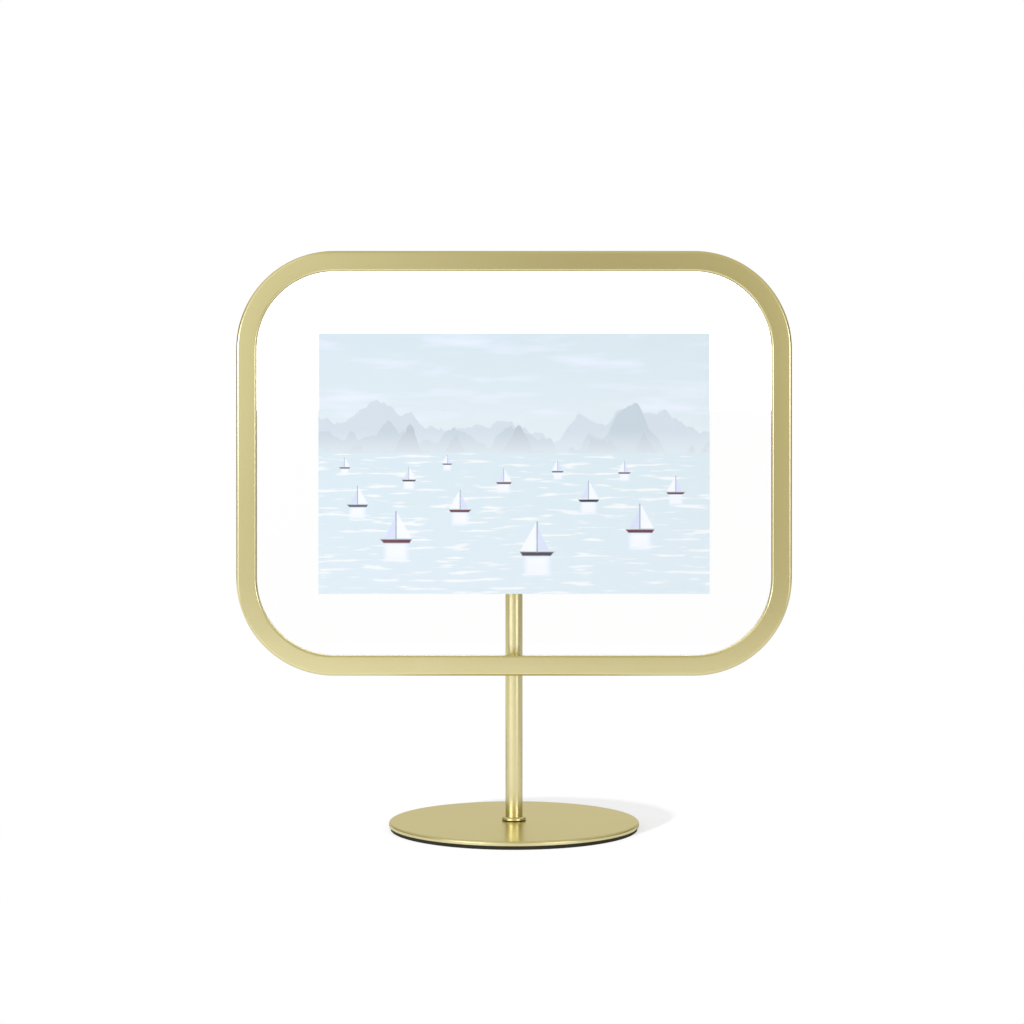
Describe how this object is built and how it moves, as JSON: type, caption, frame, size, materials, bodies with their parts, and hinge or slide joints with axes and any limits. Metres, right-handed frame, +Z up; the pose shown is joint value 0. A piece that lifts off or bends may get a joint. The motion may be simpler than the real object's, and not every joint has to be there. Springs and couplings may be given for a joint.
{
  "type": "picture frame on a post",
  "caption": "Free-standing rounded landscape picture frame in champagne gold: a print floats between glass panes and the frame turns on a slim post over a round base.",
  "frame": {"origin": "centre of the round base, on the table", "axes": "+Z up along the post, -Y towards the viewer in front of the print, +X to the viewer's right"},
  "size_m": [0.2156, 0.0992, 0.2269],
  "materials": {
    "champagne_gold": "satin champagne-gold plating on steel",
    "glass": "clear polished float glass",
    "print_paper": "satin photo paper with a pale printed scene",
    "black_rubber": "matt black moulded rubber",
    "plain_steel": "zinc-plated steel",
    "white_nylon": "natural nylon, smooth"
  },
  "bodies": {
    "stand": {"base_pad": "black_rubber", "base_disc": "champagne_gold", "base_screw": "plain_steel", "post_rod": "champagne_gold", "post_collar": "champagne_gold", "post_head": "champagne_gold", "head_set_screw": "plain_steel", "friction_washer_front": "white_nylon", "friction_washer_rear": "white_nylon"},
    "picture_frame": {"frame_ring": "champagne_gold", "front_glass": "glass", "print": "print_paper", "rear_glass": "glass", "pivot_hub": "plain_steel", "pivot_screw": "plain_steel", "wave_washer": "plain_steel", "turn_button_screw_top_left": "plain_steel", "turn_button_screw_top_right": "plain_steel", "turn_button_screw_bottom_left": "plain_steel", "turn_button_screw_bottom_right": "plain_steel"},
    "button_top_left": {"turn_button_top_left": "champagne_gold"},
    "button_top_right": {"turn_button_top_right": "champagne_gold"},
    "button_bottom_left": {"turn_button_bottom_left": "champagne_gold"},
    "button_bottom_right": {"turn_button_bottom_right": "champagne_gold"}
  },
  "joints": [
    {"name": "frame_turn", "type": "hinge", "parent": "stand", "child": "picture_frame", "pos_m": [0, -0.0115, 0.1445], "axis": [0, -1, 0], "continuous": true},
    {"name": "button_turn_top_left", "type": "hinge", "parent": "picture_frame", "child": "button_top_left", "pos_m": [-0.05, -0.0108, 0.2249], "axis": [0, -1, 0], "range_deg": [-90, 90]},
    {"name": "button_turn_top_right", "type": "hinge", "parent": "picture_frame", "child": "button_top_right", "pos_m": [0.05, -0.0108, 0.2249], "axis": [0, -1, 0], "range_deg": [-90, 90]},
    {"name": "button_turn_bottom_left", "type": "hinge", "parent": "picture_frame", "child": "button_bottom_left", "pos_m": [-0.05, -0.0108, 0.0641], "axis": [0, -1, 0], "range_deg": [-90, 90]},
    {"name": "button_turn_bottom_right", "type": "hinge", "parent": "picture_frame", "child": "button_bottom_right", "pos_m": [0.05, -0.0108, 0.0641], "axis": [0, -1, 0], "range_deg": [-90, 90]}
  ]
}
